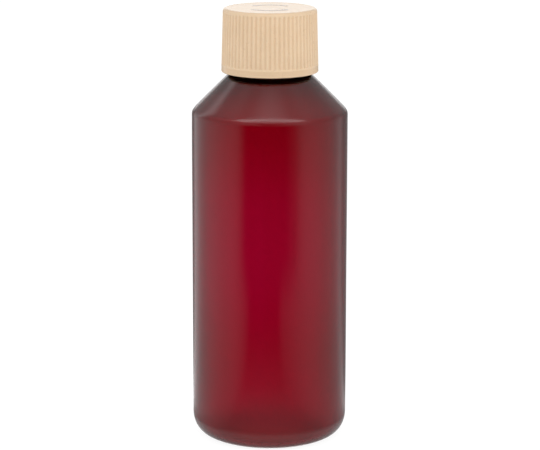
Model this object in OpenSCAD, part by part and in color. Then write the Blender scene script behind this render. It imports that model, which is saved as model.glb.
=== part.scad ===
// Round 250 ml class laboratory bottle with a 28 mm screw neck and a two-part
// push-and-turn cap. Millimetres, +Z up. The origin is the centre of the
// standing ring that the bottle rests on.

/* [Bottle] */
// Outer diameter of the straight body
body_d = 54.2; // [52:0.1:58]
// Height at which the body wall would meet the shoulder cone
shoulder_z = 116.45; // [90:0.05:130]
// Wall thickness of the straight body
body_wall = 0.65; // [0.5:0.05:1.2]
// Wall thickness at the outer edge of the shoulder
shoulder_wall = 0.8; // [0.6:0.05:1.2]
// Wall thickness where the shoulder runs into the neck
neck_foot_wall = 1.3; // [0.8:0.1:1.3]
// Thickness of the base
base_wall = 1.1; // [0.8:0.1:2]
// Radial size of the rounded heel
heel_r = 6.3; // [4:0.1:8]
// Height of the rounded heel
heel_h = 7.3; // [5:0.1:10]
// Height of the push-up in the middle of the base
pushup_h = 3; // [1:0.5:5]
// Width of the flat standing ring
ring_w = 2.4; // [1:0.1:4]
// Rounding where body and shoulder meet
shoulder_fillet = 3; // [1:0.5:6]

/* [Neck finish] */
// Root diameter of the neck, between the threads
neck_root_d = 25.7; // [25.4:0.1:25.8]
// Crest diameter of the neck thread
thread_d = 27.9; // [27.6:0.1:28]
// Bore of the neck
neck_bore_d = 21.6; // [20:0.2:22]
// Height from the foot of the neck to its sealing face
finish_h = 15; // [15:0.1:18]
// Rise of the thread in one turn
thread_lead = 3.18; // [3:0.01:3.3]
// Turns of thread on the neck
thread_turns = 1.75; // [1:0.25:1.75]
// Diameter of the bead below the thread
bead_d = 27.6; // [27:0.1:28]

/* [Cap] */
// Overall diameter at the bottom of the outer cap
cap_d = 33.7; // [33.7:0.1:35]
// Overall diameter at the top of the outer cap
cap_top_d = 32.5; // [32.5:0.1:34]
// Height of the outer cap
cap_h = 22.1; // [21.5:0.05:22.4]
// Radius of the cap's top edge
cap_edge_r = 1.2; // [0.6:0.1:1.6]
// Number of grip ribs
rib_count = 64; // [40:4:72]
// Depth of the grooves between the ribs
rib_depth = 0.32; // [0.2:0.02:0.4]
// Height of the smooth band below the ribs
band_h = 2.6; // [2:0.1:4]
// Outer diameter of the inner cap
inner_d = 30; // [29.8:0.1:30.1]
// Bore of the inner cap, at the root of its thread
inner_bore_d = 28.4; // [28.4:0.1:28.6]
// Crest diameter of the inner cap's thread
inner_crest_d = 26.2; // [26.1:0.1:26.4]
// Number of drive lugs on each half of the cap
lug_count = 8; // [4:4:12]
// Height of a drive lug
lug_h = 1.1; // [0.6:0.1:1.1]
// How far the outer cap pushes down to engage the lugs
press_travel = 1.2; // [0.8:0.1:1.2]
// Number of spring fingers
finger_count = 6; // [4:1:6]

/* [Seal] */
// Thickness of the sealing liner
liner_t = 1.4; // [1:0.1:1.4]
// Diameter of the sealing liner
liner_d = 27.8; // [27:0.1:27.8]

/* [Hidden] */

// Running gap between faces of pieces that part from each other
gap = 0.05;
body_r = body_d / 2;
root_r = neck_root_d / 2;
neck_z = shoulder_z + body_r - root_r;      // a 45 degree shoulder
seal_z = neck_z + finish_h;                 // the sealing face
liner_z = seal_z + gap;
plate_z = liner_z + liner_t + gap;          // underside of the inner cap's top
plate_t = 1.2;
inner_top_z = plate_z + plate_t;
lug_gap = press_travel + lug_h + 0.13;      // between the two top plates
outer_under_z = inner_top_z + lug_gap;
outer_plate_t = 1.1;
cap_top_z = outer_under_z + outer_plate_t;
cap_z = cap_top_z - cap_h;
inner_z = seal_z - 11.8;                    // bottom of the inner cap
thread_z = seal_z - 7.8;                    // low end of the neck thread
thread_drop = 1.45;                         // cap thread below neck thread
lug_ri = 9.6;
lug_ro = 13.6;

// An elliptic arc about a centre, from angle a0 to a1 in n steps
function arc(cx, cy, rx, ry, a0, a1, n) =
    [for (i = [0:n]) let (a = a0 + (a1 - a0) * i / n)
        [cx + rx * cos(a), cy + ry * sin(a)]];

// The rounding of radius r where the lines a-b and b-c meet
function unit(v) = v / norm(v);
function round_at(a, b, c, r, n) =
    let (u = unit(a - b), v = unit(c - b), h = acos(u * v) / 2,
         t = r / tan(h), o = b + unit(u + v) * (r / sin(h)),
         s = b + u * t, e = b + v * t,
         a0 = atan2(s[1] - o[1], s[0] - o[0]),
         d = atan2(e[1] - o[1], e[0] - o[0]) - a0,
         w = d > 180 ? d - 360 : (d < -180 ? d + 360 : d))
    [for (i = [0:n]) o + r * [cos(a0 + w * i / n), sin(a0 + w * i / n)]];

// A right-hand helical ridge. Its section runs from radius ra, where its half
// height is ha, out to radius rb, where it is hb. The free edge (free = "b" for
// an outside thread, "a" for an inside one) fades into the wall at both ends.
module ridge(z0, ra, ha, rb, hb, free, turns, phase) {
    n = round(turns * 40);
    fade = 3;
    function s(i) = min(1, (i + 0.15) / fade, (n - i + 0.15) / fade);
    function ring(i) =
        let (a = phase + 360 * turns * i / n, z = z0 + thread_lead * turns * i / n,
             k = s(i),
             qa = free == "a" ? rb - 0.35 - (rb - 0.35 - ra) * k : ra,
             qb = free == "b" ? ra + 0.35 + (rb - ra - 0.35) * k : rb,
             wa = ha * (0.5 + 0.5 * k), wb = hb * (0.5 + 0.5 * k))
        [[qa * cos(a), qa * sin(a), z - wa], [qa * cos(a), qa * sin(a), z + wa],
         [qb * cos(a), qb * sin(a), z + wb], [qb * cos(a), qb * sin(a), z - wb]];
    pts = [for (i = [0:n]) each ring(i)];
    sides = [for (i = [0:n - 1], j = [0:3])
        let (a = 4 * i + j, b = 4 * i + (j + 1) % 4, c = a + 4, d = b + 4)
        each [[b, a, c], [b, c, d]]];
    last = 4 * n;
    polyhedron(points = pts, faces = concat([[0, 1, 2], [0, 2, 3]], sides,
        [[last + 2, last + 1, last], [last + 3, last + 2, last]]), convexity = 6);
}

// The bottle's wall in section, outside first and then back down the inside
module bottle_section() {
    r_ring = body_r - heel_r;               // outer edge of the standing ring
    r_in = body_r - body_wall;
    bore = neck_bore_d / 2;
    bead = bead_d / 2;
    // the inside of the shoulder, thicker towards the neck: its two ends
    edge = [r_in, shoulder_z + body_wall - shoulder_wall * sqrt(2)];
    foot = [bore, shoulder_z + body_r - bore - neck_foot_wall * sqrt(2)];
    outer = concat(
        [for (i = [0:8]) let (r = (r_ring - ring_w) * i / 8)
            [r, pushup_h * (1 - pow(i / 8, 2))]],
        arc(r_ring, heel_h, heel_r, heel_h, -90, 0, 10),
        round_at([body_r, 20], [body_r, shoulder_z], [root_r, neck_z], shoulder_fillet, 5),
        round_at([body_r, shoulder_z], [root_r, neck_z], [root_r, neck_z + 2], 0.7, 3),
        [[root_r, neck_z + 1.3], [bead - 0.15, neck_z + 1.5], [bead, neck_z + 1.8],
         [bead, neck_z + 2.4], [bead - 0.2, neck_z + 2.7], [root_r, neck_z + 3]],
        round_at([root_r, neck_z + 4], [root_r, seal_z], [bore, seal_z], 0.5, 3));
    inner = concat(
        round_at([root_r, seal_z], [bore, seal_z], [bore, seal_z - 4], 0.4, 3),
        round_at([bore, seal_z], foot, edge, 2, 4),
        round_at(foot, edge, [r_in, 20], shoulder_fillet - 0.6, 4),
        arc(r_ring, heel_h, heel_r - body_wall, heel_h - base_wall, 0, -90, 10),
        [for (i = [7:-1:0]) [r_ring * i / 8, base_wall + pushup_h * (1 - pow(i / 8, 2))]]);
    polygon(concat(outer, inner));
}

module bottle() {
    color("firebrick") {
        rotate_extrude($fn = 96) bottle_section();
        ridge(thread_z, root_r - 0.3, 1.05, thread_d / 2, 0.5, "b", thread_turns, 0);
    }
}

module sealing_liner() {
    color("white")
        translate([0, 0, liner_z]) rotate_extrude($fn = 96)
            polygon([[0, 0], [liner_d / 2 - 0.1, 0], [liner_d / 2, 0.1],
                [liner_d / 2, liner_t - 0.1], [liner_d / 2 - 0.1, liner_t], [0, liner_t]]);
}

// One wedge-shaped drive lug, standing on z = 0 across the ring of lugs
module lug(flip) {
    w = 2 * PI * (lug_ri + lug_ro) / 2 / lug_count * 0.36;
    intersection() {
        rotate([90, 0, 90]) translate([0, 0, lug_ri - 1]) linear_extrude(lug_ro - lug_ri + 2)
            polygon([[-w / 2, -0.3], [w / 2, -0.3], [w / 2, 0],
                flip ? [w / 2, lug_h] : [w * 0.05, lug_h],
                flip ? [-w * 0.05, lug_h] : [-w / 2, lug_h], [-w / 2, 0]]);
        translate([0, 0, -0.3]) difference() {
            cylinder(r = lug_ro, h = lug_h + 0.3, $fn = 96);
            translate([0, 0, -1]) cylinder(r = lug_ri, h = lug_h + 2.3, $fn = 96);
        }
    }
}

module lug_ring(flip, phase) {
    for (i = [0:lug_count - 1]) rotate(phase + 360 * i / lug_count) lug(flip);
}

module inner_cap() {
    r = inner_d / 2;
    b = inner_bore_d / 2;
    color("ivory") {
        rotate_extrude($fn = 96) polygon(concat(
            [[0, plate_z], [b - 0.4, plate_z], [b, plate_z - 0.4],
             [b, liner_z - 0.25], [b - 0.55, liner_z - 0.35], [b - 0.7, liner_z - 0.6],
             [b - 0.7, liner_z - 0.75], [b, liner_z - 1.25],
             [b, inner_z + 0.6], [b + 0.3, inner_z], [r - 0.15, inner_z], [r, inner_z + 0.15]],
            round_at([r, inner_z + 1], [r, inner_top_z], [0, inner_top_z], 0.6, 3),
            [[0, inner_top_z]]));
        ridge(thread_z - thread_drop - thread_lead / 3, inner_crest_d / 2, 0.4,
            b + 0.3, 0.92, "a", thread_turns, -120);
        translate([0, 0, inner_top_z]) lug_ring(false, 0);
    }
}

module spring_fingers() {
    zb = inner_top_z + 0.1;
    zt = outer_under_z - 0.08;
    pitch = 2 * PI * 6.6 / finger_count;
    color("ivory") {
        translate([0, 0, zt - 0.5]) difference() {
            cylinder(r = 8.6, h = 0.5, $fn = 96);
            translate([0, 0, -1]) cylinder(r = 4.6, h = 3, $fn = 96);
        }
        intersection() {
            for (i = [0:finger_count - 1]) rotate(360 * i / finger_count)
                rotate([90, 0, 90]) translate([0, 0, 4]) linear_extrude(5)
                    polygon([[0, zt - 0.5 + 0.2], [0, zt - 0.5 - 0.35], [pitch * 0.52, zb],
                        [pitch * 0.66, zb], [pitch * 0.66, zb + 0.45],
                        [pitch * 0.22, zt - 0.5 + 0.2]]);
            translate([0, 0, zb - 1]) difference() {
                cylinder(r = 8.4, h = 5, $fn = 96);
                translate([0, 0, -1]) cylinder(r = 4.8, h = 7, $fn = 96);
            }
        }
    }
}

// Outside radius of the cap at a height, along its slight taper
function cap_r(z) = (cap_d + (cap_top_d - cap_d) * (z - cap_z) / cap_h) / 2;

module outer_cap() {
    z0 = cap_z;
    z1 = cap_z + band_h;
    z2 = cap_top_z - cap_edge_r - 0.15;
    zi = inner_z - 0.2;                     // top of the snap bead
    bore_b = inner_d / 2 + 0.62;
    bore_t = inner_d / 2 + 0.28;
    skin = 0.5;
    wide = 360 / rib_count;
    color("wheat") {
        rotate_extrude($fn = 128) polygon(concat(
            [[0, outer_under_z]],
            round_at([0, outer_under_z], [bore_t, outer_under_z], [bore_t, z1], 0.3, 2),
            [[bore_b, zi + 0.5], [inner_d / 2 - 0.25, zi], [inner_d / 2 - 0.25, zi - 0.6],
             [bore_b, zi - 1.4], [bore_b, z0 + 0.3], [bore_b + 0.3, z0],
             [cap_r(z0) - 0.25, z0], [cap_r(z0), z0 + 0.25], [cap_r(z1), z1],
             [cap_r(z1 + 0.25) - rib_depth, z1 + 0.25],
             [cap_r(z2 - 0.25) - rib_depth, z2 - 0.25], [cap_r(z2), z2]],
            round_at([cap_r(z2), z2], [cap_r(cap_top_z), cap_top_z], [0, cap_top_z],
                cap_edge_r, 5),
            [[0, cap_top_z]]));
        intersection() {
            rotate_extrude($fn = 128) polygon([
                [cap_r(z1) - skin, z1 - 0.1], [cap_r(z1) - 0.05, z1 - 0.1],
                [cap_r(z1) - 0.05, z1], [cap_r(z2) - 0.05, z2], [cap_r(z2) - skin, z2]]);
            translate([0, 0, z0]) linear_extrude(cap_h)
                polygon([for (i = [0:rib_count - 1], q = [[14, -0.3], [18, -0.19], [18, 0.19], [14, 0.3]])
                    let (a = wide * (i + 0.5 + q[1])) q[0] * [cos(a), sin(a)]]);
        }
        translate([0, 0, outer_under_z]) mirror([0, 0, 1])
            lug_ring(true, 180 / lug_count);
    }
}

bottle();
sealing_liner();
inner_cap();
spring_fingers();
outer_cap();
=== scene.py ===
# Round ruby bottle with a cream push-and-turn cap: the looks, built round the packed
# CAD frame. Profiles are written in millimetres and scaled to metres by mesh().
import math

import bmesh
import bpy
import numpy as np
from mathutils import Euler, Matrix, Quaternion, Vector


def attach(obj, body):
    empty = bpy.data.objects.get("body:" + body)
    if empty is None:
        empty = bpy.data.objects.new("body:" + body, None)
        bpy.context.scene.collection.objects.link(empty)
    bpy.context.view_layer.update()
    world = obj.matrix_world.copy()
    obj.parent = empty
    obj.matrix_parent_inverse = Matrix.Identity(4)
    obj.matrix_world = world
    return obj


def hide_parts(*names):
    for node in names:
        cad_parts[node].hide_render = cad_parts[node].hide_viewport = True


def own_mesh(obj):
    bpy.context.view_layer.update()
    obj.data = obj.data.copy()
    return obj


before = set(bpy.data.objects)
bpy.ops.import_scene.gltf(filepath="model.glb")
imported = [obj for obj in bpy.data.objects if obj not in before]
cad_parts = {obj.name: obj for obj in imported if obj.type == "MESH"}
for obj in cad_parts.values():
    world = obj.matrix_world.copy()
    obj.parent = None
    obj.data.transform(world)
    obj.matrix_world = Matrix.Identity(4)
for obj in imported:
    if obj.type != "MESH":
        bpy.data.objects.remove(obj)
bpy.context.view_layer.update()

MM = 0.001
TAU = 2 * math.pi
scene = bpy.context.scene


# ---------------------------------------------------------------- profile helpers
def arc(cx, cz, rx, rz, a0, a1, n):
    a = np.radians(np.linspace(a0, a1, n + 1))
    return [(cx + rx * math.cos(t), cz + rz * math.sin(t)) for t in a]


def round_at(a, b, c, r, n):
    """The rounding of radius r where the lines a-b and b-c meet."""
    a, b, c = (np.array(p, float) for p in (a, b, c))
    u, v = (a - b) / np.linalg.norm(a - b), (c - b) / np.linalg.norm(c - b)
    h = math.acos(float(u @ v)) / 2
    t, m = r / math.tan(h), (u + v) / np.linalg.norm(u + v)
    o = b + m * (r / math.sin(h))
    s, e = b + u * t, b + v * t
    a0 = math.atan2(s[1] - o[1], s[0] - o[0])
    d = math.atan2(e[1] - o[1], e[0] - o[0]) - a0
    d = (d + math.pi) % TAU - math.pi
    return [tuple(o + r * np.array([math.cos(a0 + d * i / n), math.sin(a0 + d * i / n)]))
            for i in range(n + 1)]


def run(p, q, step, ease=0.25):
    """Points strictly between p and q, closer together near both ends."""
    p, q = np.array(p, float), np.array(q, float)
    length = np.linalg.norm(q - p)
    cuts, d = [], ease
    while d < length / 2:
        cuts.append(d)
        d += min(step, max(ease, d))
    cuts = cuts + [length - c for c in cuts]
    middle = sorted(set(round(c, 4) for c in cuts))
    keep = [m for i, m in enumerate(middle) if i == 0 or m - middle[i - 1] > ease * 0.6]
    return [tuple(p + (q - p) * m / length) for m in keep]


def smooth(x):
    x = np.clip(x, 0, 1)
    return x * x * (3 - 2 * x)


def ring(r, z, th):
    r, z = np.broadcast_to(r, th.shape), np.broadcast_to(z, th.shape)
    return np.stack([r * np.cos(th), r * np.sin(th), z], 1)


# ---------------------------------------------------------------- mesh helpers
def mesh(name, verts, faces, sharp=None):
    me = bpy.data.meshes.new(name)
    me.from_pydata((np.asarray(verts) * MM).tolist(), [], faces)
    me.validate()
    me.update()
    ob = bpy.data.objects.new(name, me)
    scene.collection.objects.link(ob)
    me.polygons.foreach_set("use_smooth", np.ones(len(me.polygons), bool))
    if sharp:
        me.set_sharp_from_angle(angle=math.radians(sharp))
    return ob


def skin(rings, base=0):
    """Faces that join consecutive rings. A ring of one point is a pole, and where one
    ring has k times as many points as the next, each of its steps fans out."""
    starts = base + np.cumsum([0] + [len(r) for r in rings])
    faces = []
    for a in range(len(rings) - 1):
        n, m = len(rings[a]), len(rings[a + 1])
        A, B = starts[a] + np.arange(n), starts[a + 1] + np.arange(m)
        An, Bn = np.roll(A, -1), np.roll(B, -1)
        if n == m:
            faces += np.stack([A, An, Bn, B], 1).tolist()
        elif n == 1:
            faces += [[int(A[0]), int(q), int(p)] for p, q in zip(B, Bn)]
        elif m == 1:
            faces += [[int(p), int(q), int(B[0])] for p, q in zip(A, An)]
        elif n > m:
            k = n // m
            for j in range(m):
                for i in range(k):
                    p = k * j + i
                    t = B[j] if i < k // 2 else Bn[j]
                    faces.append([int(A[p]), int(An[p]), int(t)])
                faces.append([int(A[k * j + k // 2]), int(Bn[j]), int(B[j])])
        else:
            k = m // n
            for j in range(n):
                for i in range(k):
                    p = k * j + i
                    t = A[j] if i < k // 2 else An[j]
                    faces.append([int(t), int(Bn[p]), int(B[p])])
                faces.append([int(A[j]), int(An[j]), int(B[k * j + k // 2])])
    return faces


def attribute(ob, name, values):
    at = ob.data.attributes.new(name, "FLOAT", "POINT")
    at.data.foreach_set("value", np.asarray(values, np.float32))


def islands(name, parts, sharp=40):
    """One object from several small closed solids, each a bmesh-made (verts, faces)."""
    verts, faces = [], []
    for v, f in parts:
        base = len(verts)
        verts += [tuple(p) for p in v]
        faces += [[base + i for i in q] for q in f]
    return mesh(name, verts, faces, sharp)


def prism(outline, z0, z1, bevel, segments=2, lift=None):
    """A closed solid over a plan outline in mm, with its top edges rounded."""
    bm = bmesh.new()
    base = [bm.verts.new((x, y, z0)) for x, y in outline]
    bottom = bm.faces.new(base)
    bottom.normal_update()
    if bottom.normal.z > 0:
        bottom.normal_flip()
    top = bmesh.ops.extrude_face_region(bm, geom=[bottom])
    up = [g for g in top["geom"] if isinstance(g, bmesh.types.BMVert)]
    for v in up:
        v.co.z = z1 if lift is None else z0 + lift(v.co.x, v.co.y)
    bmesh.ops.recalc_face_normals(bm, faces=bm.faces[:])
    ups = set(up)
    rims = [e for e in bm.edges if e.verts[0] in ups and e.verts[1] in ups]
    rims += [e for e in bm.edges if (e.verts[0] in ups) != (e.verts[1] in ups)
             and len(e.link_faces) == 2 and e.calc_face_angle(0) > 0.6]
    if bevel:
        bmesh.ops.bevel(bm, geom=rims, offset=bevel, segments=segments, profile=0.5,
                        affect="EDGES", clamp_overlap=True)
    bmesh.ops.triangulate(bm, faces=[f for f in bm.faces if len(f.verts) > 4])
    bm.verts.index_update()
    out = ([tuple(v.co) for v in bm.verts], [[v.index for v in f.verts] for f in bm.faces])
    bm.free()
    return out


def turned(part, degrees, flip_z=None):
    c, s = math.cos(math.radians(degrees)), math.sin(math.radians(degrees))
    v, f = part
    v = [(x * c - y * s, x * s + y * c, z) for x, y, z in v]
    if flip_z is not None:
        v = [(x, y, flip_z - z) for x, y, z in v]
        f = [q[::-1] for q in f]
    return v, f


# ---------------------------------------------------------------- the bottle
BODY_R, R_IN, SHOULDER_Z = 27.1, 26.45, 116.28
ROOT_R, BORE_R = 12.85, 10.8
NECK_Z, SEAL_Z = 130.53, 145.7
RING_R = 20.8
FOOT_WALL = 1.3
# The shoulder turns slowly at first and quickly lower down: tilt in degrees, length in mm.
BLEND = [(45, 43.5, 1.73), (43.5, 42, 0.34), (42, 40, 0.334), (40, 38, 0.327), (38, 36, 0.321),
         (36, 32, 0.313), (32, 25, 0.301), (25, 18, 0.292), (18, 8, 0.573), (8, 0, 0.575)]
# How much thicker than its thinnest the blown wall is, by height.
THICK = [(8, 0.0), (14, 0.06), (22, 0.12), (33, 0.09), (45, 0.03), (60, 0.0), (78, 0.02), (90, 0.05), (97, 0.13),
         (107, 0.20), (115, 0.24), (122, 0.0)]


def thread_height(th, z, z0, lead, turns, phase, crest, root, fade=27.0):
    """How far a helical ridge stands out at each angle: 0 to 1."""
    deg = (np.degrees(th) - phase) % 360
    best = np.zeros_like(deg)
    for m in range(int(turns) + 1):
        along = deg + 360 * m
        inside = along <= 360 * turns
        k = smooth(along / fade) * smooth((360 * turns - along) / fade)
        u = np.abs(z - (z0 + lead * along / 360))
        h = smooth((root - u) / (root - crest)) * k
        best = np.maximum(best, np.where(inside, h, 0))
    return best


def shoulder():
    """The blend between the body and the cone, from the body up."""
    pts = [(0.0, 0.0)]
    for a, b, length in BLEND:
        for k in range(3):
            t = math.radians(a + (b - a) * (k + 0.5) / 3)
            r, z = pts[-1]
            pts.append((r + math.sin(t) * length / 3, z - math.cos(t) * length / 3))
    r_top = BODY_R - pts[-1][0]
    z_top = SHOULDER_Z + BODY_R - r_top
    return [(r_top + r, z_top + z) for r, z in pts][::-1]


def bottle():
    extra = [-0.8, -0.4, -0.15, 0.15, 0.4, 0.8]
    deg = np.concatenate([np.arange(240) * 1.5, [e % 360 for e in extra],
                          [180 + e for e in extra]])
    th = np.radians(np.sort(deg))
    seam = np.minimum(np.abs(np.angle(np.exp(1j * th))),
                      np.abs(np.angle(np.exp(1j * (th - math.pi)))))

    outer = [(0.55, 2.42), (0.95, 2.44), (1.3, 2.56), (1.55, 2.78), (1.85, 2.92), (2.3, 2.952)]
    outer += [(r, 3 * (1 - (r / 18.4) ** 2)) for r in np.linspace(3, 17.55, 14)]
    outer += [(18.0, 0.135), (18.4, 0.055), (18.8, 0.012), (19.15, 0.0), (20.05, 0.0)]
    outer += arc(RING_R, 7.3, 6.3, 7.3, -90, 0, 22)
    fillet = shoulder()
    foot = round_at((BODY_R, SHOULDER_Z), (ROOT_R, NECK_Z), (ROOT_R, NECK_Z + 2), 0.7, 6)
    outer += run(outer[-1], fillet[0], 3.2) + fillet
    outer += run(fillet[-1], foot[0], 1.3) + foot
    outer += [(ROOT_R + 0.95 * float(smooth((z - 131.8) / 0.6) * smooth((133.8 - z) / 0.6)), z)
              for z in np.arange(131.6, 134.05, 0.1)]
    outer += [(ROOT_R, z) for z in np.arange(134.15, 145.1, 0.14)]
    outer += round_at((ROOT_R, NECK_Z + 4), (ROOT_R, SEAL_Z), (BORE_R, SEAL_Z), 0.5, 6)

    # the wall is thick at the neck's foot and thins out quickly below it
    line = SHOULDER_Z + BODY_R - FOOT_WALL * math.sqrt(2)
    c_foot, c_ease = (BORE_R, 127.9), (14.5, line - 14.5)
    c_edge = (R_IN, SHOULDER_Z + 0.65 - 0.8 * math.sqrt(2))
    i_foot = round_at((BORE_R, SEAL_Z), c_foot, c_ease, 0.8, 6)
    i_ease = round_at(c_foot, c_ease, c_edge, 1.2, 5)
    i_edge = round_at(c_ease, c_edge, (R_IN, 20), 3.2, 12)
    lip = round_at((ROOT_R, SEAL_Z), (BORE_R, SEAL_Z), (BORE_R, SEAL_Z - 4), 0.4, 5)
    inner = lip + run(lip[-1], i_foot[0], 1.2) + i_foot + run(i_foot[-1], i_ease[0], 1.3) + i_ease
    inner += run(i_ease[-1], i_edge[0], 1.3) + i_edge
    heel = arc(RING_R, 7.3, 5.65, 6.5, 0, -90, 18)
    inner += run(i_edge[-1], heel[0], 3.2) + heel
    inner += [(r, 0.8 + 2.95 * (1 - (r / RING_R) ** 2)) for r in np.linspace(20.05, 3, 15)]
    inner += [(2.0, 3.66), (1.0, 3.57)]

    def wall_wave(z):
        """Slight unevenness of a blown wall, nothing at the moulded neck."""
        w = smooth((z - 8) / 14) * smooth((116 - z) / 12)
        return w * (0.030 * np.sin(2 * th + 0.6 + z / 47) + 0.018 * np.sin(3 * th + 1.9 - z / 31)
                    + 0.010 * np.sin(5 * th + z / 17 + 0.4) * np.sin(z / 21)
                    + 0.012 * np.sin(z / 13.5 + 1.2 * np.sin(th)))

    def wall_thin(z):
        """Streaks of slightly thicker and thinner wall, drawn out along the bottle."""
        w = smooth((z - 6) / 12) * smooth((122 - z) / 14)
        return w * (0.016 * np.sin(4 * th + 0.3 + z / 90) + 0.010 * np.sin(9 * th + 2.1 - z / 70)
                    + 0.007 * np.sin(17 * th + 1.1 + z / 60) + 0.006 * np.sin(31 * th + 0.5)
                    - 0.13 * np.maximum(0, -np.cos(th)) ** 2)

    c_lo, c_hi = fillet[-1], foot[0]
    rings = [np.array([[0, 0, 2.42]])]
    for r, z in outer:
        rr = np.full(th.shape, float(r))
        if c_lo[1] < z < c_hi[1]:                        # the cone is very slightly barrelled
            t = (z - c_lo[1]) / (c_hi[1] - c_lo[1])
            rr = rr + 0.24 * t * (1 - t)
        if 134.0 < z < 145.2:
            rr = rr + 1.1 * thread_height(th, z, 137.9, 3.18, 1.75, 0, 0.42, 1.02)
        if 1.2 < z < 129.5 and r > 13:
            rr = rr + wall_wave(z)
            rr = rr + 0.045 * np.exp(-((seam * r / 0.22) ** 2))
        rings.append(ring(rr, z, th))
    outside = sum(len(q) for q in rings)
    for r, z in inner:
        rr = np.full(th.shape, float(r))
        if 1.2 < z < 127.0 and r > 13:
            rr = rr + wall_wave(z) - wall_thin(z)
            rr = rr - np.interp(z, *zip(*THICK)) * float(smooth((z - 3) / 6))
        rings.append(ring(rr, z, th))
    rings.append(np.array([[0, 0, 3.54]]))
    ob = mesh("bottle_shell", np.vstack(rings), skin(rings))
    inside = np.ones(sum(len(q) for q in rings))
    inside[:outside + len(th) * len(lip)] = 0
    z = np.vstack(rings)[:, 2]
    attribute(ob, "inside", inside * np.interp(z, [3, 9], [0.5, 1]))
    return ob


# ---------------------------------------------------------------- the outer cap
CAP_Z, CAP_TOP, CAP_UNDER = 129.83, 151.93, 150.83
RIBS = 64
BAND_Z, RIB_TOP = CAP_Z + 2.6, CAP_TOP - 1.35
RIB_DEPTH = 0.32


def cap_r(z):
    return (33.7 - 1.2 * (z - CAP_Z) / 22.1) / 2


def outer_cap():
    per = 12
    n = RIBS * per
    u = np.tile((np.arange(per) / per), RIBS)           # 0 in the middle of a groove
    th = TAU * np.arange(n) / n
    v = np.minimum(u, 1 - u)                            # distance from the groove's middle
    groove = np.where(v < 0.34, 0.10 + 0.90 * (1 - smooth((v - 0.08) / 0.26)),
                      0.10 * (1 - np.clip((v - 0.34) / 0.16, 0, 1)) ** 2)
    coarse = th[::4]
    # crest holds a painted shade: 1 keeps the cream as it is, 0 multiplies it darker. The grooves are painted
    # darker towards their middle, the smooth band above the foot is painted fully dark for the shade next to the
    # shoulder, the coarse rings of the inside and the top take 0.7 and the two poles 0.6.
    rings, crest, face = [], [], []

    def add(r, z, t=th, depth=0.0, painted_shade_tone=0.75):
        rr = np.full(t.shape, float(r))
        if depth:
            rr = rr - depth * (groove if len(t) == n else 0)
        rings.append(ring(rr, z, t))
        if len(t) == n:
            crest.append(np.where(depth > 0.02, 1 - groove * min(1, depth / RIB_DEPTH), 0.75)
                         if depth > 0.02 else np.full(n, painted_shade_tone))
        else:
            crest.append(np.full(len(t), 0.7))
        face.append(np.full(len(t), 1.0 if z > CAP_TOP - 0.45 and r < 15.9 else 0.0))

    # underside of the top plate, then down the inside of the skirt
    rings.append(np.array([[0, 0, CAP_UNDER]])); crest.append(np.array([0.6]))
    face.append(np.array([0.0]))
    under = [(r, CAP_UNDER) for r in (1.5, 4, 7, 9.2, 11.5, 13.8, 14.6)]
    under += round_at((0, CAP_UNDER), (15.28, CAP_UNDER), (15.28, BAND_Z), 0.45, 4)
    under += run((15.28, CAP_UNDER - 0.45), (15.62, 134.4), 2.2)
    under += [(15.62, 134.25), (15.45, 134.05), (15.1, 133.86), (14.86, 133.72), (14.76, 133.55),
              (14.76, 133.25), (14.86, 133.08), (15.1, 132.9), (15.45, 132.55), (15.62, 132.25)]
    under += run((15.62, 132.25), (15.66, 130.2), 0.8)
    under += [(15.66, 130.2), (15.74, 130.0), (15.9, 129.87)]
    for r, z in under:
        add(r, z, coarse)
    # foot of the skirt, the smooth band, and the ribs
    add(16.1, CAP_Z, coarse)
    for r, z in round_at((16, CAP_Z), (16.85, CAP_Z), (cap_r(132), 132), 0.45, 6):
        add(r, z, painted_shade_tone=1.0)
    # painted shade: these band rings take tone 0, the darkest, for the shade next to the shoulder below them
    for z in (130.4, 130.55, 130.9, 131.3, 131.7, 132.0):
        add(cap_r(z) - 0.04 * float(smooth((132.0 - z) / 0.5)), z, painted_shade_tone=0.0)
    add(cap_r(132.15) + 0.01, 132.15, painted_shade_tone=0.6)
    add(cap_r(132.3) + 0.01, 132.3, painted_shade_tone=1.0)
    add(cap_r(BAND_Z) - 0.012, BAND_Z, painted_shade_tone=1.0)
    for k in np.linspace(0, 1, 6)[1:]:                   # the grooves' lower ends, facing up
        z = BAND_Z + 0.42 * k
        add(cap_r(z), z, depth=RIB_DEPTH * float(smooth(k)))
    for z in (133.2, 133.6, 134.5, 137, 140, 143, 146, 148, 149.0, 149.6, 150.0):
        add(cap_r(z), z, depth=RIB_DEPTH)
    # they run out into the rounding of the top edge
    edge = round_at((cap_r(RIB_TOP), RIB_TOP), (cap_r(CAP_TOP), CAP_TOP), (0, CAP_TOP), 1.2, 11)
    for r, z in [(cap_r(z), z) for z in (150.2, 150.3, 150.4, 150.5, 150.6)] + edge:
        add(r, z, depth=RIB_DEPTH * float(1 - smooth((z - 150.2) / 0.8)))
    # the top: a faint dish inside the rim, and the mark of the gate in the middle
    top = [(15.0, 0.0), (14.6, 0.004), (14.2, 0.020), (13.8, 0.045), (13.4, 0.058), (13.0, 0.062), (11.5, 0.065),
           (9.5, 0.066), (7.0, 0.068), (4.5, 0.070), (2.9, 0.072), (2.5, 0.080), (2.1, 0.100), (1.7, 0.115),
           (1.2, 0.120), (0.9, 0.110), (0.6, 0.085), (0.3, 0.080)]
    top = [(r, CAP_TOP - d) for r, d in top]
    for r, z in top:
        add(r, z, coarse)
    rings.append(np.array([[0, 0, CAP_TOP - 0.08]])); crest.append(np.array([0.6]))
    face.append(np.array([1.0]))
    ob = mesh("outer_cap_shell", np.vstack(rings), skin(rings), sharp=50)
    attribute(ob, "crest", np.concatenate(crest))
    attribute(ob, "face", np.concatenate(face))
    return ob


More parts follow.
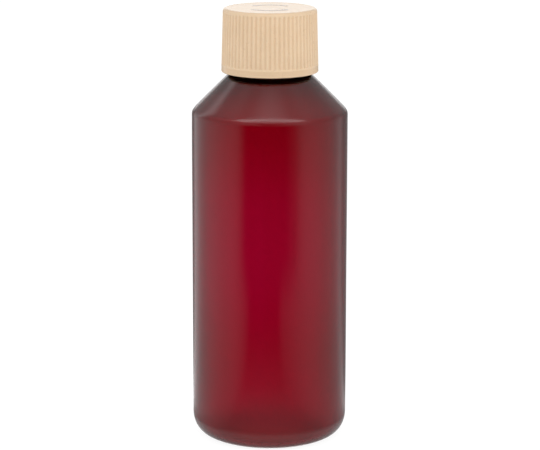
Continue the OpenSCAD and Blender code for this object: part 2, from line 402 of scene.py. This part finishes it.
def lug(ramp):
    """A drive lug: upright on one side, sloping on the other, 1.1 mm high."""
    w, mid = 3.28, 11.6
    half = w / 2 / mid

    def lift(x, y):
        t = math.atan2(y, x) * mid * ramp               # along the ring, + on the sloping side
        return 0.2 + 1.1 * float(np.clip((w / 2 - t) / (w / 2 - 0.05 * w), 0.02, 1))

    a = sorted([-half, half, -half + 0.02, 0.0, 0.05 * w / mid * ramp, half * 0.5 * ramp, half * 0.8 * ramp])
    outline = ([(9.6 * math.cos(t), 9.6 * math.sin(t)) for t in a]
               + [(13.6 * math.cos(t), 13.6 * math.sin(t)) for t in a[::-1]])
    return prism(outline, -0.2, 0, 0, lift=lift)


def cap_lugs():
    part = lug(-1)
    parts = []
    for i in range(8):
        v, f = turned(part, 22.5 + 45 * i)
        parts.append(([(x, y, CAP_UNDER - z) for x, y, z in v], [q[::-1] for q in f]))
    return islands("outer_cap_lugs", parts)


def arrow(r0, r1, a0, a1, head):
    """A curved arrow in plan: a band from a0 to a1 degrees, with a head at a1."""
    n = 22
    a = np.radians(np.linspace(a0, a1, n))
    mid, out = (r0 + r1) / 2, (r1 - r0) / 2
    pts = [(r1 * math.cos(t), r1 * math.sin(t)) for t in a]
    tip = math.radians(a1 + head * (1 if a1 > a0 else -1))
    pts += [((r1 + out * 1.1) * math.cos(a[-1]), (r1 + out * 1.1) * math.sin(a[-1])),
            (mid * math.cos(tip), mid * math.sin(tip)),
            ((r0 - out * 1.1) * math.cos(a[-1]), (r0 - out * 1.1) * math.sin(a[-1]))]
    pts += [(r0 * math.cos(t), r0 * math.sin(t)) for t in a[::-1]]
    return pts


def cap_marks():
    """Generic marks on the top: two turning arrows that make a broken ring."""
    z0, z1 = CAP_TOP - 0.3, CAP_TOP - 0.02
    parts = [prism(arrow(7.0, 8.2, a, a + 92, 15), z0, z1, 0.03) for a in (38, 218)]
    return islands("outer_cap_marks", parts, sharp=50)


# ---------------------------------------------------------------- the inner cap
def inner_cap():
    n = 192
    th = TAU * np.arange(n) / n
    PLATE_Z, TOP, BOT = 147.2, 148.4, 133.9
    rings = [np.array([[0, 0, PLATE_Z]])]
    path = [(r, PLATE_Z) for r in (2, 5, 8, 11, 13)]
    path += round_at((0, PLATE_Z), (14.2, PLATE_Z), (14.2, 140), 0.4, 4)
    path += [(14.2, 146.3), (14.2, 145.7), (14.12, 145.54), (13.9, 145.45), (13.66, 145.38), (13.54, 145.25),
             (13.5, 145.1), (13.54, 144.96), (13.7, 144.82), (13.95, 144.68), (14.14, 144.55), (14.2, 144.4)]
    path += [(14.2, z) for z in np.arange(144.2, 134.65, -0.16)]
    path += [(14.22, 134.5), (14.3, 134.25), (14.42, 134.02), (14.52, 133.92), (14.7, 133.9),
             (14.84, 133.92), (14.95, 133.98), (15.0, 134.1), (15.0, 134.4)]
    path += run((15, 134.4), (15, 147.2), 1.6)
    path += round_at((15, 140), (15, TOP), (0, TOP), 0.6, 6)
    path += [(r, TOP) for r in (14, 12.5, 9.5, 6.5, 3.5, 1.6)] + [(1.3, TOP + 0.12), (0.9, TOP + 0.16)]
    for r, z in path:
        rr = np.full(th.shape, float(r))
        if r == 14.2 and 134.6 < z < 144.3:
            rr = rr - 1.1 * thread_height(th, z, 135.39, 3.18, 1.75, -120, 0.34, 0.95)
        rings.append(ring(rr, z, th))
    rings.append(np.array([[0, 0, TOP + 0.16]]))
    return mesh("inner_cap_shell", np.vstack(rings), skin(rings), sharp=50)


def inner_lugs():
    part = lug(1)
    parts = []
    for i in range(8):
        v, f = turned(part, 45 * i)
        parts.append(([(x, y, 148.4 + z) for x, y, z in v], f))
    return islands("inner_cap_lugs", parts)


# ---------------------------------------------------------------- the seal and the spring
def liner():
    n = 128
    th = TAU * np.arange(n) / n
    z0, z1 = 145.75, 147.15
    rng = np.random.default_rng(7)
    ph = rng.uniform(0, TAU, 6)
    press = lambda r: -0.0 + 0.045 * math.exp(-((r - 11.9) / 0.9) ** 2)   # the neck's print
    path = [(r, z0 + press(r)) for r in (2, 5, 8, 9.6, 10.4, 10.9, 11.4, 11.9, 12.4, 12.9, 13.3)]
    path += [(13.7, z0 + 0.02), (13.82, z0 + 0.08), (13.88, z0 + 0.2), (13.9, z0 + 0.45), (13.86, z0 + 0.7),
             (13.9, z1 - 0.4), (13.88, z1 - 0.18), (13.82, z1 - 0.07), (13.7, z1 - 0.01)]
    path += [(r, z1) for r in (13.2, 11, 8, 5, 2)]
    rings = [np.array([[0, 0, z0]])]
    for r, z in path:
        rings.append(ring(r + 0.01 * np.sin(7 * th + ph[0]) * (r > 13.5), z, th))
    rings.append(np.array([[0, 0, z1]]))
    return mesh("seal_disc", np.vstack(rings), skin(rings), sharp=60)


def spring():
    """A ring that carries six curved, tapering fingers."""
    n = 96
    th = TAU * np.arange(n) / n
    top, thick = 150.75, 0.5
    path = [(4.7, top - thick), (8.5, top - thick), (8.58, top - thick + 0.08), (8.6, top - thick / 2),
            (8.58, top - 0.08), (8.5, top), (4.7, top), (4.62, top - 0.08), (4.6, top - thick / 2),
            (4.62, top - thick + 0.08)]
    rings = [ring(r, z, th) for r, z in path]
    verts = [np.vstack(rings)]
    faces = skin(rings + [rings[0]])
    total = n * len(path)
    faces = [[i - total if i >= total else i for i in f] for f in faces]
    base = total
    steps = 14
    for k in range(6):
        a0 = math.radians(60 * k)
        rows = []
        for i in range(steps + 1):
            s = i / steps
            a = a0 + 0.62 * s
            drop = 1.72 * (s ** 1.35)
            z = top - 0.22 - drop
            t = 0.24 - 0.05 * s
            w0, w1 = 4.95 + 0.25 * s, 8.25 - 0.3 * s
            c, sn = math.cos(a), math.sin(a)
            rows.append(np.array([[w0 * c, w0 * sn, z - t], [(w0 + 0.1) * c, (w0 + 0.1) * sn, z - t - 0.05],
                                  [(w1 - 0.1) * c, (w1 - 0.1) * sn, z - t - 0.05], [w1 * c, w1 * sn, z - t],
                                  [w1 * c, w1 * sn, z + t - 0.1], [(w1 - 0.1) * c, (w1 - 0.1) * sn, z + t - 0.05],
                                  [(w0 + 0.1) * c, (w0 + 0.1) * sn, z + t - 0.05], [w0 * c, w0 * sn, z + t - 0.1]]))
        m = len(rows[0])
        verts.append(np.vstack(rows))
        faces += [[q for q in f[::-1]] for f in skin(rows, base)]
        faces.append([base + j for j in range(m)])
        faces.append([base + steps * m + j for j in range(m)][::-1])
        base += m * (steps + 1)
    ob = mesh("spring_washer", np.vstack(verts), faces, sharp=45)
    bm = bmesh.new()
    bm.from_mesh(ob.data)
    bmesh.ops.recalc_face_normals(bm, faces=bm.faces[:])
    bm.to_mesh(ob.data)
    bm.free()
    return ob


# ---------------------------------------------------------------- materials
def new_material(name):
    m = bpy.data.materials.new(name)
    m.use_nodes = True
    nt = m.node_tree
    nt.nodes.clear()
    out = nt.nodes.new("ShaderNodeOutputMaterial")
    bs = nt.nodes.new("ShaderNodeBsdfPrincipled")
    nt.links.new(bs.outputs[0], out.inputs["Surface"])
    return m, nt, bs, out


def noise(nt, scale, stretch=(1, 1, 1), detail=3, rough=0.5):
    co = nt.nodes.new("ShaderNodeTexCoord")
    mp = nt.nodes.new("ShaderNodeMapping")
    mp.inputs["Scale"].default_value = stretch
    nz = nt.nodes.new("ShaderNodeTexNoise")
    nz.inputs["Scale"].default_value = scale
    nz.inputs["Detail"].default_value = detail
    nz.inputs["Roughness"].default_value = rough
    nt.links.new(co.outputs["Object"], mp.inputs["Vector"])
    nt.links.new(mp.outputs[0], nz.inputs["Vector"])
    return nz.outputs["Fac"]


def remap(nt, value, lo, hi, a=0.3, b=0.7):
    mr = nt.nodes.new("ShaderNodeMapRange")
    mr.inputs["From Min"].default_value, mr.inputs["From Max"].default_value = a, b
    mr.inputs["To Min"].default_value, mr.inputs["To Max"].default_value = lo, hi
    nt.links.new(value, mr.inputs["Value"])
    return mr.outputs[0]


def bump(nt, bs, *layers):
    last = None
    for height, strength, distance in layers:
        b = nt.nodes.new("ShaderNodeBump")
        b.inputs["Strength"].default_value = strength
        b.inputs["Distance"].default_value = distance
        nt.links.new(height, b.inputs["Height"])
        if last:
            nt.links.new(last, b.inputs["Normal"])
        last = b.outputs[0]
    nt.links.new(last, bs.inputs["Normal"])


def ramp(nt, fac, *stops):
    cr = nt.nodes.new("ShaderNodeValToRGB")
    while len(cr.color_ramp.elements) < len(stops):
        cr.color_ramp.elements.new(0.5)
    for e, (p, c) in zip(cr.color_ramp.elements, stops):
        e.position, e.color = p, (*c, 1)
    nt.links.new(fac, cr.inputs[0])
    return cr.outputs[0]


def mat_ruby():
    m, nt, bs, out = new_material("ruby_plastic")
    bs.inputs["Base Color"].default_value = (1, 1, 1, 1)
    bs.inputs["Transmission Weight"].default_value = 1.0
    bs.inputs["IOR"].default_value = 1.57
    # polished outside, hazy inside; one material, as both bound the same plastic
    at = nt.nodes.new("ShaderNodeAttribute")
    at.attribute_name = "inside"
    haze = remap(nt, noise(nt, 40, (1, 1, 0.2), 3), 0.40, 0.50)
    polish = remap(nt, noise(nt, 55, (1, 1, 0.12), 4), 0.055, 0.095)
    mix = nt.nodes.new("ShaderNodeMix")
    nt.links.new(at.outputs["Fac"], mix.inputs[0])
    nt.links.new(polish, mix.inputs[2])
    nt.links.new(haze, mix.inputs[3])
    nt.links.new(mix.outputs[0], bs.inputs["Roughness"])
    bump(nt, bs,
         (noise(nt, 420, (1, 1, 0.03), 2), 0.25, 0.00002),
         (noise(nt, 90, (1, 1, 0.35), 2), 0.3, 0.00006))
    va = nt.nodes.new("ShaderNodeVolumeAbsorption")
    va.inputs["Color"].default_value = (0.854, 0.054, 0.485, 1)
    va.inputs["Density"].default_value = 5600
    nt.links.new(va.outputs[0], out.inputs["Volume"])
    return m


def mat_cream(name="cream_plastic", dark=(0.750, 0.556, 0.366), light=(0.790, 0.592, 0.397)):
    m, nt, bs, out = new_material(name)
    base = ramp(nt, noise(nt, 190, (1, 1, 1), 4), (0.30, dark), (0.70, light))
    # Painted shade: the crest attribute multiplies the cream darker in the grooves and on the band above the foot.
    # Pieces without the attribute read 0 and take the full darkening.
    at = nt.nodes.new("ShaderNodeAttribute")
    at.attribute_name = "crest"
    edge = ramp(nt, at.outputs["Fac"], (0.0, (0.93, 0.90, 0.87)), (1.0, (1.0, 1.0, 1.0)))
    mix = nt.nodes.new("ShaderNodeMix")
    mix.data_type, mix.blend_type = "RGBA", "MULTIPLY"
    mix.inputs[0].default_value = 1.0
    nt.links.new(base, mix.inputs[6])
    nt.links.new(edge, mix.inputs[7])
    nt.links.new(mix.outputs[2], bs.inputs["Base Color"])
    bs.inputs["IOR"].default_value = 1.49
    bs.inputs["Subsurface Weight"].default_value = 0.12
    bs.inputs["Subsurface Radius"].default_value = (1.0, 0.7, 0.45)
    bs.inputs["Subsurface Scale"].default_value = 0.0006
    # the top is polished, the ribbed side is satin
    fa = nt.nodes.new("ShaderNodeAttribute")
    fa.attribute_name = "face"
    mr = nt.nodes.new("ShaderNodeMix")
    nt.links.new(fa.outputs["Fac"], mr.inputs[0])
    nt.links.new(remap(nt, noise(nt, 900, (1, 1, 1), 3), 0.26, 0.35), mr.inputs[2])
    nt.links.new(remap(nt, noise(nt, 500, (1, 1, 1), 3), 0.15, 0.21), mr.inputs[3])
    nt.links.new(mr.outputs[0], bs.inputs["Roughness"])
    bump(nt, bs,
         (noise(nt, 2600, (1, 1, 1), 2), 0.22, 0.00002),
         (noise(nt, 240, (1, 1, 1), 2), 0.15, 0.00005))
    return m


def mat_natural():
    m, nt, bs, out = new_material("natural_plastic")
    base = ramp(nt, noise(nt, 160, (1, 1, 1), 3), (0.3, (0.78, 0.775, 0.73)), (0.7, (0.83, 0.825, 0.785)))
    nt.links.new(base, bs.inputs["Base Color"])
    bs.inputs["IOR"].default_value = 1.49
    bs.inputs["Subsurface Weight"].default_value = 0.35
    bs.inputs["Subsurface Radius"].default_value = (1.0, 0.9, 0.8)
    bs.inputs["Subsurface Scale"].default_value = 0.0015
    nt.links.new(remap(nt, noise(nt, 700, (1, 1, 1), 3), 0.30, 0.42), bs.inputs["Roughness"])
    bump(nt, bs, (noise(nt, 1800, (1, 1, 1), 2), 0.2, 0.00002))
    return m


def mat_foam():
    m, nt, bs, out = new_material("foam_liner")
    co = nt.nodes.new("ShaderNodeTexCoord")
    vo = nt.nodes.new("ShaderNodeTexVoronoi")
    vo.inputs["Scale"].default_value = 3600
    nt.links.new(co.outputs["Object"], vo.inputs["Vector"])
    base = ramp(nt, vo.outputs["Distance"], (0.0, (0.72, 0.71, 0.69)), (0.6, (0.88, 0.875, 0.86)))
    nt.links.new(base, bs.inputs["Base Color"])
    bs.inputs["Subsurface Weight"].default_value = 0.2
    bs.inputs["Subsurface Radius"].default_value = (1.0, 1.0, 0.9)
    bs.inputs["Subsurface Scale"].default_value = 0.0008
    nt.links.new(remap(nt, noise(nt, 1200), 0.55, 0.75), bs.inputs["Roughness"])
    bump(nt, bs, (vo.outputs["Distance"], 0.35, 0.00006), (noise(nt, 300), 0.2, 0.00008))
    return m


def finish_piece(ob, material, body, node=None):
    ob.data.materials.clear()
    ob.data.materials.append(material)
    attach(ob, body)
    if node:
        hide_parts(node)
    return ob


ruby, cream, natural, foam = mat_ruby(), mat_cream(), mat_natural(), mat_foam()
# The arrows are moulded in the cap's plastic; their grey colour is painted shade, standing for the darker look of
# the raised relief.
painted_shade_marks = mat_cream("cream_marks", (0.56, 0.52, 0.50), (0.64, 0.60, 0.58))
finish_piece(bottle(), ruby, "bottle", "bottle")
finish_piece(liner(), foam, "liner", "sealing_liner")
finish_piece(inner_cap(), natural, "inner", "inner_cap")
finish_piece(inner_lugs(), natural, "inner")
washer = finish_piece(spring(), natural, "spring", "spring_fingers")
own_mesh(washer)
finish_piece(outer_cap(), cream, "outer", "outer_cap")
finish_piece(cap_lugs(), cream, "outer")
finish_piece(cap_marks(), painted_shade_marks, "outer")


# ---------------------------------------------------------------- floor, light, camera
def emitter(name, verts, faces, glow, tint=(1, 1, 1)):
    """A soft card that only reflections see. Its brightness is set point by point."""
    ob = mesh(name, np.asarray(verts), faces)
    attribute(ob, "glow", glow)
    m = bpy.data.materials.new(name)
    m.use_nodes = True
    nt = m.node_tree
    nt.nodes.clear()
    out = nt.nodes.new("ShaderNodeOutputMaterial")
    em = nt.nodes.new("ShaderNodeEmission")
    em.inputs["Color"].default_value = (*tint, 1)
    at = nt.nodes.new("ShaderNodeAttribute")
    at.attribute_name = "glow"
    nt.links.new(at.outputs["Fac"], em.inputs["Strength"])
    nt.links.new(em.outputs[0], out.inputs["Surface"])
    m.cycles.emission_sampling = "NONE"
    ob.data.materials.append(m)
    ob.visible_camera = False
    ob.visible_diffuse = False
    ob.visible_shadow = False
    ob.visible_volume_scatter = False
    return ob


def floor():
    n, radii = 96, [0.0, 30, 60, 120, 250, 500, 1000, 2000, 4000, 9000, 20000]
    th = TAU * np.arange(n) / n
    rings = [np.array([[0, 0, 0.0]])] + [ring(r, 0.0, th) for r in radii[1:]]
    ob = mesh("floor", np.vstack(rings), [f[::-1] for f in skin(rings)])
    m = bpy.data.materials.new("floor")
    m.use_nodes = True
    nt = m.node_tree
    nt.nodes.clear()
    out = nt.nodes.new("ShaderNodeOutputMaterial")
    em = nt.nodes.new("ShaderNodeEmission")
    em.inputs["Strength"].default_value = 0.92
    di = nt.nodes.new("ShaderNodeBsdfDiffuse")
    di.inputs["Color"].default_value = (0.16, 0.16, 0.16, 1)
    add = nt.nodes.new("ShaderNodeAddShader")
    nt.links.new(em.outputs[0], add.inputs[0])
    nt.links.new(di.outputs[0], add.inputs[1])
    nt.links.new(add.outputs[0], out.inputs["Surface"])
    ob.data.materials.append(m)
    return ob


# What the gloss mirrors, by azimuth (0 towards the camera), low down and then by height.
LEFT = [(0, 0.0), (33, 0.0), (37, 0.05), (41, 0.17), (45, 0.29), (49, 0.37), (55, 0.43), (87, 0.63), (110, 0.68), (122, 0.76),
        (133, 0.86), (141, 0.87), (149, 0.45), (155, 0.22), (164, 0.20), (172, 0.60), (178, 1.0), (180, 1.05)]
RIGHT = [(0, 0.0), (22, 0.0), (36, 0.10), (46, 0.34), (54, 0.44), (67, 0.50), (86, 0.54), (108, 0.60),
         (120, 0.70), (126, 0.68), (134, 0.36), (140, 0.28), (155, 0.25), (166, 0.30), (173, 0.70), (180, 1.05)]
# close in, the dark part towards the camera is narrower: true azimuth to table azimuth
NEAR_LEFT = [(0, 0), (30, 38), (40, 44), (50, 50), (62, 60), (100, 100), (180, 180)]
NEAR_RIGHT = [(0, 0), (10, 22), (17, 37.5), (28.6, 41), (40, 45), (53, 52), (67, 60), (100, 100), (180, 180)]
# NEAR: glow by radius in mm. Under about 55 mm it sets the glow, kept below the floor's brightness: a painted
# contact shadow round the foot that only reflections see. Further out it lifts the dark front a little.
NEAR = [(0, 0.45), (25, 0.5), (28, 0.85), (33, 0.75), (38, 0.5), (45, 0.38), (60, 0.32), (75, 0.28), (85, 0.22), (103, 0.12), (145, 0.05), (200, 0.0)]
# the overhead softbox, by how far forward the direction leans (run over rise)
FRONT = [(0, 0.60), (0.12, 0.64), (0.176, 0.86), (0.231, 1.25), (0.287, 2.2), (0.364, 2.7), (0.445, 2.2),
         (0.53, 1.6), (0.727, 0.85), (1.19, 0.30), (2.05, 0.15), (9.5, 0.08), (40, 0.02)]
SIDE = [(20, 0.48), (45, 0.60), (60, 0.74), (70, 0.72), (90, 0.58)]
BACK = [(0, 1.0), (5, 1.22), (14, 1.22), (22, 0.6), (45, 0.5), (60, 0.6), (90, 0.58)]


def low_glow(deg, r):
    """Glow near the ground at azimuth deg (negative to the left), at radius r in mm."""
    t = float(np.clip((320 - r) / 90, 0, 1))
    out = np.zeros(len(deg))
    for side, table, near in ((-1, LEFT, NEAR_LEFT), (1, RIGHT, NEAR_RIGHT)):
        real = np.clip(side * deg, 0, 180)
        a = real * (1 - t) + np.interp(real, *zip(*near)) * t
        out = np.where(side * deg >= 0, np.interp(a, *zip(*table)), out)
    return out


def sky_glow(deg, el):
    a = np.abs(deg)
    low = low_glow(deg, 620)
    side = np.interp(el, *zip(*([(0, 0.0)] + SIDE)))
    side = side + low * max(0.0, 1 - el / 20)
    back = np.interp(el, *zip(*BACK)) * (1 - smooth((168 - a) / 14)) + side * smooth((168 - a) / 14)
    x = np.abs(np.sin(np.radians(deg))) / max(math.tan(math.radians(el)), 0.02)
    y = np.cos(np.radians(deg)) / max(math.tan(math.radians(el)), 0.02)
    front = np.interp(y, *zip(*FRONT))
    w = (1 - smooth((x - 0.55) / 0.5)) * smooth((y + 0.05) / 0.2)
    glow = side * (1 - w) + front * w
    glow = np.where(a > 150, back, glow)
    streak = np.exp(-((deg + 128) / 7.0) ** 2) * smooth((50 - el) / 12) * smooth((el - 4) / 10)
    return glow + 0.7 * streak


def dome():
    deg = np.concatenate([np.arange(-180, -150, 2), np.arange(-150, -60, 3), np.arange(-60, 60, 2),
                          np.arange(60, 150, 3), np.arange(150, 180, 2)]).astype(float)
    az = np.radians(deg)
    verts, glow = [], []
    for r, z in [(23.5, 0.15), (26, 0.2), (33, 0.3), (40, 0.35), (50, 0.4), (60, 0.45), (75, 0.5), (85, 0.5),
                 (103, 0.6), (125, 0.7), (145, 0.8), (170, 0.9), (190, 0.9), (220, 1), (250, 1), (285, 1), (320, 1),
                 (400, 1), (500, 1), (620, 1), (800, 1), (1100, 1)]:
        verts.append(np.stack([r * np.sin(az), -r * np.cos(az), np.full(az.shape, float(z))], 1))
        near = np.interp(r, *zip(*NEAR))
        w = 1 - smooth((np.abs(deg) - 70) / 60)
        g = low_glow(deg, r)
        g = np.maximum(g, near * w)
        # painted contact shadow: close to the foot the glow blends to the dim NEAR values
        close = float(smooth((r - 30) / 25))
        glow.append(g * close + near * (0.45 + 0.55 * w) * (1 - close))
    for el in [-3.6, -2, 0, 2, 4, 6, 8, 10, 13, 16, 20, 24, 28, 32, 36, 40, 44, 48, 51, 54, 57, 60, 62, 64, 66, 68,
               70, 72, 74, 76, 78, 80, 82, 84, 86, 88]:
        e = math.radians(el)
        r, z = 1400 * math.cos(e), 100 + 1400 * math.sin(e)
        verts.append(np.stack([r * np.sin(az), -r * np.cos(az), np.full(az.shape, z)], 1))
        glow.append(low_glow(deg, 620) if el <= 0 else sky_glow(deg, el))
    k, n = len(az), len(verts)
    verts.append(np.array([[0, 0, 1500.0]]))
    glow.append(np.array([0.58]))
    front, back = [], []
    for i in range(n):
        for j in range(k):
            m = (j + 1) % k
            q = ([i * k + j, i * k + m, (i + 1) * k + m, (i + 1) * k + j] if i < n - 1
                 else [i * k + j, i * k + m, n * k])
            (front if abs(deg[j]) < 92 else back).append(q)
    v, gl = np.vstack(verts), np.concatenate(glow)
    emitter("stage_glow_front", v, front, gl)
    b = emitter("stage_glow_back", v, back, gl)
    b.visible_transmission = False


def softbox(name, az, el, dist, w, h, power, color=(1, 1, 1), spread=180):
    li = bpy.data.lights.new(name, "AREA")
    li.shape, li.size, li.size_y = "RECTANGLE", w, h
    li.energy = power
    li.color = color
    li.spread = math.radians(spread)
    ob = bpy.data.objects.new(name, li)
    scene.collection.objects.link(ob)
    a, e = math.radians(az), math.radians(el)
    aim = Vector((0, 0, 0.10))
    back = Vector((math.sin(a) * math.cos(e), -math.cos(a) * math.cos(e), math.sin(e)))
    ob.location = aim + back * dist
    ob.rotation_mode = "QUATERNION"
    ob.rotation_quaternion = back.to_track_quat("Z", "Y")
    ob.visible_glossy = False
    return ob


floor()
dome()
# An area light's radiance is power / (pi * area).
softbox("light_front_top", 0, 41, 0.9, 0.72, 0.20, 1.8 * math.pi * 0.72 * 0.20)
softbox("light_right", 52, 24, 1.2, 0.6, 0.8, 0.72 * math.pi * 0.6 * 0.8)

world = bpy.data.worlds.new("studio")
scene.world = world
world.use_nodes = True
world.node_tree.nodes["Background"].inputs["Color"].default_value = (1, 1, 1, 1)
world.node_tree.nodes["Background"].inputs["Strength"].default_value = 0.92

scene.view_settings.view_transform = "Standard"
scene.view_settings.look = "None"
scene.cycles.use_denoising = True
scene.cycles.transmission_bounces = 16
scene.cycles.max_bounces = 16

cam = bpy.data.cameras.new("camera")
cam.sensor_width = 36
cam.lens = 2262.0 / 540 * 36
cam.shift_x = 0.0007
cam.clip_start, cam.clip_end = 0.01, 50
cam_ob = bpy.data.objects.new("camera", cam)
cam_ob.location = (0, -0.77603, 0.25110)
cam_ob.rotation_mode = "QUATERNION"
cam_ob.rotation_quaternion = (Euler((math.radians(90 - 12.773), 0, 0)).to_quaternion()
                              @ Quaternion((0, 0, 1), math.radians(0.1)))
scene.collection.objects.link(cam_ob)
scene.camera = cam_ob
